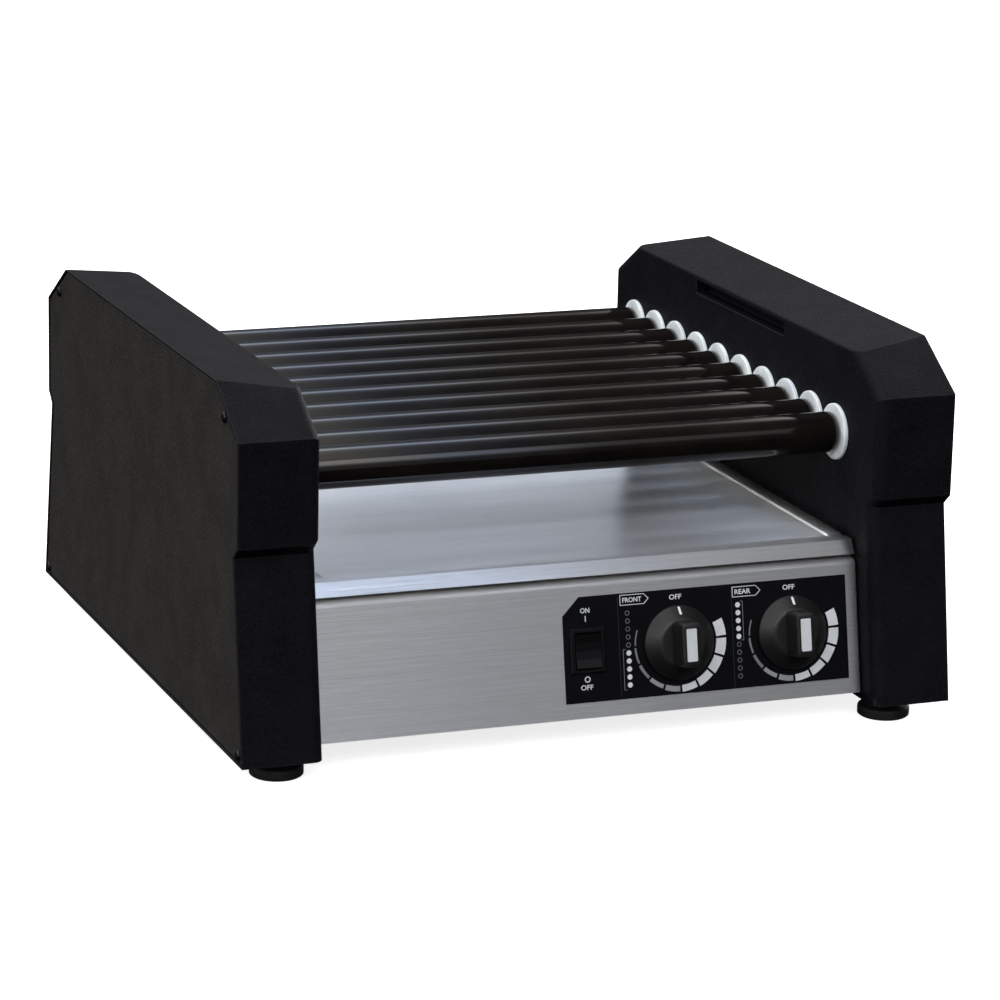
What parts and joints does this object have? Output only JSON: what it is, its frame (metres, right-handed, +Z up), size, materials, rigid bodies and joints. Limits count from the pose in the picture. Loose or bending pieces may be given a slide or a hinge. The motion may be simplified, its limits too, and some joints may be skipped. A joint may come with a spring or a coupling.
{
  "type": "hot dog roller grill",
  "caption": "Counter-top roller grill: row of black heated rollers between two raised black side housings, steel drip tray, tilted front panel with switch and heat knobs.",
  "frame": {"origin": "centre of the footprint at counter level, under the middle of the machine", "axes": "+X to the right as the user faces the controls, +Y to the rear, +Z up; the rollers lie along X"},
  "size_m": [0.4576, 0.4394, 0.2327],
  "materials": {
    "cover_black": "fine black texture, satin",
    "side_panel_black": "fine black texture, satin",
    "screw_black": "blackened",
    "frame_steel": "zinc plated",
    "bush_white": "smooth white",
    "heater_bar": "pressed insulating board",
    "roller_black": "black non-stick coating, satin gloss",
    "sprocket_steel": "oiled steel",
    "heater_sheath": "oxidised sheath",
    "chain_steel": "oiled steel",
    "motor_grey": "painted",
    "foot_rubber": "moulded",
    "stainless": "brushed",
    "tray_stainless": "satin",
    "overlay_black": "printed film",
    "switch_black": "moulded",
    "knob_black": "moulded satin",
    "inlay_white": "smooth",
    "control_body": "moulded phenolic",
    "spindle_steel": "bright steel",
    "terminal_cream": "moulded"
  },
  "bodies": {
    "base": {"cover_left": "cover_black", "cover_right": "cover_black", "side_panel_left": "side_panel_black", "side_panel_right": "side_panel_black", "side_screws": "screw_black", "frame_left": "frame_steel", "frame_right": "frame_steel", "floor_left": "frame_steel", "floor_right": "frame_steel", "bushes_left": "bush_white", "bushes_right": "bush_white", "heater_bar_left": "heater_bar", "heater_bar_right": "heater_bar", "heaters_front": "heater_sheath", "heaters_rear": "heater_sheath", "drive_chain": "chain_steel", "gear_motor": "motor_grey", "feet": "foot_rubber", "front_panel": "stainless", "rear_panel": "stainless", "base_pan": "stainless", "deck_plate": "stainless", "tray_rail_left": "stainless", "tray_rail_right": "stainless", "control_overlay": "overlay_black", "switch_body": "switch_black", "power_inlet": "switch_black", "heat_control_front": "control_body", "heat_control_rear": "control_body", "terminal_block": "terminal_cream"},
    "roller_01": {"roller_01": "roller_black", "sprocket_01": "sprocket_steel"},
    "roller_02": {"roller_02": "roller_black", "sprocket_02": "sprocket_steel"},
    "roller_03": {"roller_03": "roller_black", "sprocket_03": "sprocket_steel"},
    "roller_04": {"roller_04": "roller_black", "sprocket_04": "sprocket_steel"},
    "roller_05": {"roller_05": "roller_black", "sprocket_05": "sprocket_steel"},
    "roller_06": {"roller_06": "roller_black", "sprocket_06": "sprocket_steel"},
    "roller_07": {"roller_07": "roller_black", "sprocket_07": "sprocket_steel"},
    "roller_08": {"roller_08": "roller_black", "sprocket_08": "sprocket_steel"},
    "roller_09": {"roller_09": "roller_black", "sprocket_09": "sprocket_steel"},
    "roller_10": {"roller_10": "roller_black", "sprocket_10": "sprocket_steel"},
    "motor_output": {"motor_shaft": "sprocket_steel", "motor_sprocket": "sprocket_steel"},
    "knob_front": {"knob_front": "knob_black", "knob_inlay_front": "inlay_white", "spindle_front": "spindle_steel"},
    "knob_rear": {"knob_rear": "knob_black", "knob_inlay_rear": "inlay_white", "spindle_rear": "spindle_steel"},
    "rocker": {"switch_rocker": "switch_black"},
    "tray": {"drip_tray": "tray_stainless"}
  },
  "joints": [
    {"name": "roller_01_spin", "type": "hinge", "parent": "base", "child": "roller_01", "pos_m": [0, -0.1494, 0.172], "axis": [1, 0, 0], "continuous": true},
    {"name": "roller_02_spin", "type": "hinge", "parent": "base", "child": "roller_02", "pos_m": [0, -0.1141, 0.172], "axis": [1, 0, 0], "continuous": true},
    {"name": "roller_03_spin", "type": "hinge", "parent": "base", "child": "roller_03", "pos_m": [0, -0.0788, 0.172], "axis": [1, 0, 0], "continuous": true},
    {"name": "roller_04_spin", "type": "hinge", "parent": "base", "child": "roller_04", "pos_m": [0, -0.0435, 0.172], "axis": [1, 0, 0], "continuous": true},
    {"name": "roller_05_spin", "type": "hinge", "parent": "base", "child": "roller_05", "pos_m": [0, -0.0082, 0.172], "axis": [1, 0, 0], "continuous": true},
    {"name": "roller_06_spin", "type": "hinge", "parent": "base", "child": "roller_06", "pos_m": [0, 0.0271, 0.172], "axis": [1, 0, 0], "continuous": true},
    {"name": "roller_07_spin", "type": "hinge", "parent": "base", "child": "roller_07", "pos_m": [0, 0.0624, 0.172], "axis": [1, 0, 0], "continuous": true},
    {"name": "roller_08_spin", "type": "hinge", "parent": "base", "child": "roller_08", "pos_m": [0, 0.0977, 0.172], "axis": [1, 0, 0], "continuous": true},
    {"name": "roller_09_spin", "type": "hinge", "parent": "base", "child": "roller_09", "pos_m": [0, 0.133, 0.172], "axis": [1, 0, 0], "continuous": true},
    {"name": "roller_10_spin", "type": "hinge", "parent": "base", "child": "roller_10", "pos_m": [0, 0.1683, 0.172], "axis": [1, 0, 0], "continuous": true},
    {"name": "motor_spin", "type": "hinge", "parent": "base", "child": "motor_output", "pos_m": [0, 0.00945, 0.065], "axis": [1, 0, 0], "continuous": true},
    {"name": "knob_front_turn", "type": "hinge", "parent": "base", "child": "knob_front", "pos_m": [0.0553, -0.19424, 0.05962], "axis": [0, -0.981, 0.1942], "range_deg": [0, 300]},
    {"name": "knob_rear_turn", "type": "hinge", "parent": "base", "child": "knob_rear", "pos_m": [0.1305, -0.19424, 0.05962], "axis": [0, -0.981, 0.1942], "range_deg": [0, 300]},
    {"name": "power_rocker", "type": "hinge", "parent": "base", "child": "rocker", "pos_m": [-0.0038, -0.19231, 0.05903], "axis": [1, 0, 0], "range_deg": [-14, 0]},
    {"name": "tray_slide", "type": "slide", "parent": "base", "child": "tray", "axis": [0, -1, 0], "range_m": [0, 0.3]}
  ],
  "couplings": [
    {"joint": "roller_02_spin", "follows": "roller_01_spin", "ratio": 1},
    {"joint": "roller_03_spin", "follows": "roller_01_spin", "ratio": 1},
    {"joint": "roller_04_spin", "follows": "roller_01_spin", "ratio": 1},
    {"joint": "roller_05_spin", "follows": "roller_01_spin", "ratio": 1},
    {"joint": "roller_06_spin", "follows": "roller_01_spin", "ratio": 1},
    {"joint": "roller_07_spin", "follows": "roller_01_spin", "ratio": 1},
    {"joint": "roller_08_spin", "follows": "roller_01_spin", "ratio": 1},
    {"joint": "roller_09_spin", "follows": "roller_01_spin", "ratio": 1},
    {"joint": "roller_10_spin", "follows": "roller_01_spin", "ratio": 1},
    {"joint": "motor_spin", "follows": "roller_01_spin", "ratio": 1}
  ]
}
